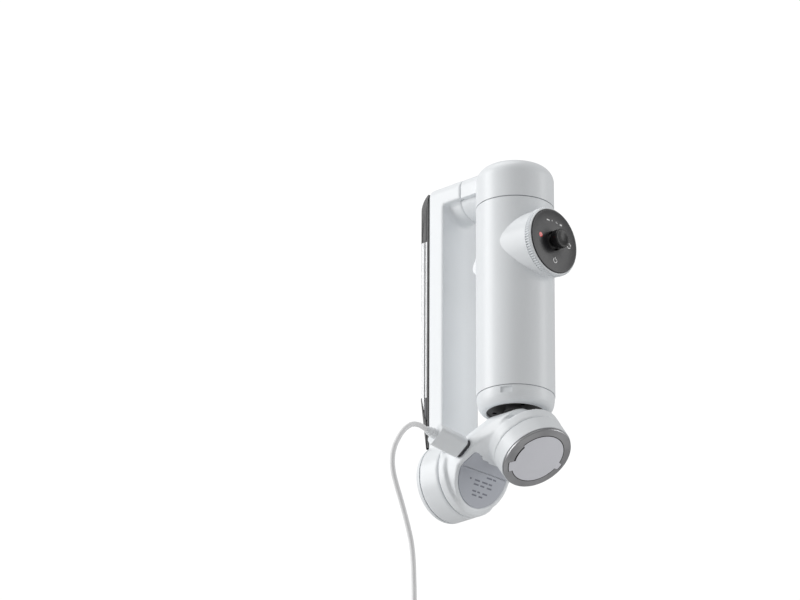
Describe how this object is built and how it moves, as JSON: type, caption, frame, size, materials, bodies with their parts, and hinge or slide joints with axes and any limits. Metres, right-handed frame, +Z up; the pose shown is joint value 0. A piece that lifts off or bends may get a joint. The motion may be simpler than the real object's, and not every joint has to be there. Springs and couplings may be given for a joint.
{
  "type": "folding phone gimbal stabilizer",
  "caption": "Hand-held phone gimbal folded for storage, with motor joints on pan, tilt and roll, a hinged long arm, control face, trigger and a charging cable.",
  "frame": {"origin": "mouth of the tripod thread in the centre of the handle's base", "axes": "+Z up the handle, -Y towards the control face, +Y towards the long arm"},
  "size_m": [0.0802, 0.0786, 0.303],
  "materials": {
    "white_shell": "satin white moulded plastic",
    "black_face": "dark glossy plastic, slightly smudged",
    "black_part": "matt black plastic",
    "dark_frame": "dark grey moulded plastic",
    "clear_cover": "clear glossy plastic",
    "label_grey": "matt grey plate",
    "pale_plate": "pale satin plate",
    "steel": "turned steel",
    "winding": "copper wire windings",
    "board": "green circuit board",
    "cell": "shrink-wrapped cell",
    "red_light": "red lens",
    "white_mark": "white printed marks",
    "leg": "light grey plastic",
    "cable": "white flexible cable sheath"
  },
  "bodies": {
    "handle": {"handle_shell": "white_shell", "base_cap": "white_shell", "base_plug": "black_part", "thread_insert": "steel", "rod_sleeve": "dark_frame", "rod_outer": "steel", "rod_middle": "steel", "rod_inner": "steel", "tripod_leg_a": "leg", "tripod_leg_b": "leg", "tripod_leg_c": "leg", "battery_left": "cell", "battery_right": "cell", "main_board": "board", "board_chips": "black_part", "control_base": "dark_frame", "control_board": "board", "stick_base": "black_part", "trigger_pin": "steel", "trigger_bracket": "dark_frame", "trigger_spring": "steel", "pan_stator": "winding", "pan_bearing": "steel"},
    "dial": {"dial": "white_shell"},
    "rocker": {"rocker_ring": "steel"},
    "face": {"control_face": "black_face", "record_light": "red_light", "mode_marks": "white_mark"},
    "yoke": {"stick_yoke": "steel"},
    "stick": {"joystick": "black_part"},
    "trigger": {"trigger": "white_shell"},
    "pan_head": {"pan_cap": "white_shell", "pan_rotor": "steel", "pan_shaft": "steel", "fold_pin": "steel"},
    "arm": {"arm_shell": "white_shell", "arm_inlay": "black_part", "window_cover": "clear_cover", "arm_screws": "steel", "tilt_back_cap": "white_shell", "tilt_stator": "winding", "tilt_bearing": "steel", "fold_washer": "steel"},
    "tilt_arm": {"short_arm_shell": "white_shell", "label_plate": "label_grey", "tilt_rotor": "steel", "tilt_shaft": "steel", "roll_stator": "winding", "roll_bearing": "steel", "phone_port": "dark_frame", "usb_plug": "white_shell", "usb_shell": "steel", "charge_cable": "cable", "phone_plug": "white_shell"},
    "roll_head": {"roll_housing": "white_shell", "mount_ring": "steel", "mount_plate": "pale_plate", "mount_magnets": "steel", "roll_motor_rotor": "steel"}
  },
  "joints": [
    {"name": "pan", "type": "hinge", "parent": "handle", "child": "pan_head", "pos_m": [0, 0, 0.101], "axis": [0, 0, 1], "range_deg": [-100, 220]},
    {"name": "arm_fold", "type": "hinge", "parent": "pan_head", "child": "arm", "pos_m": [0, 0.03, 0.1115], "axis": [0, 1, 0], "range_deg": [0, 180]},
    {"name": "tilt", "type": "hinge", "parent": "arm", "child": "tilt_arm", "pos_m": [0, 0.032, -0.024], "axis": [0, 1, 0], "range_deg": [-170, 35]},
    {"name": "roll", "type": "hinge", "parent": "tilt_arm", "child": "roll_head", "pos_m": [0, -0.0134, -0.0252], "axis": [0, -0.5736, -0.8192], "range_deg": [-120, 120]},
    {"name": "dial_turn", "type": "hinge", "parent": "handle", "child": "dial", "pos_m": [0, -0.022, 0.07865], "axis": [0, -1, 0], "continuous": true},
    {"name": "face_rock_up", "type": "hinge", "parent": "handle", "child": "rocker", "pos_m": [0, -0.0217, 0.07865], "axis": [1, 0, 0], "range_deg": [-1.2, 1.2], "stiffness_Nm_per_rad": 0.5},
    {"name": "face_rock_side", "type": "hinge", "parent": "rocker", "child": "face", "pos_m": [0, -0.0217, 0.07865], "axis": [0, 0, 1], "range_deg": [-1.2, 1.2], "stiffness_Nm_per_rad": 0.5},
    {"name": "stick_up", "type": "hinge", "parent": "handle", "child": "yoke", "pos_m": [0, -0.0195, 0.07865], "axis": [1, 0, 0], "range_deg": [-8, 8], "stiffness_Nm_per_rad": 0.05},
    {"name": "stick_side", "type": "hinge", "parent": "yoke", "child": "stick", "pos_m": [0, -0.0195, 0.07865], "axis": [0, 0, 1], "range_deg": [-8, 8], "stiffness_Nm_per_rad": 0.05},
    {"name": "trigger_pull", "type": "hinge", "parent": "handle", "child": "trigger", "pos_m": [0, 0.0132, 0.087], "axis": [-1, 0, 0], "range_deg": [0, 4.5], "stiffness_Nm_per_rad": 0.4}
  ]
}
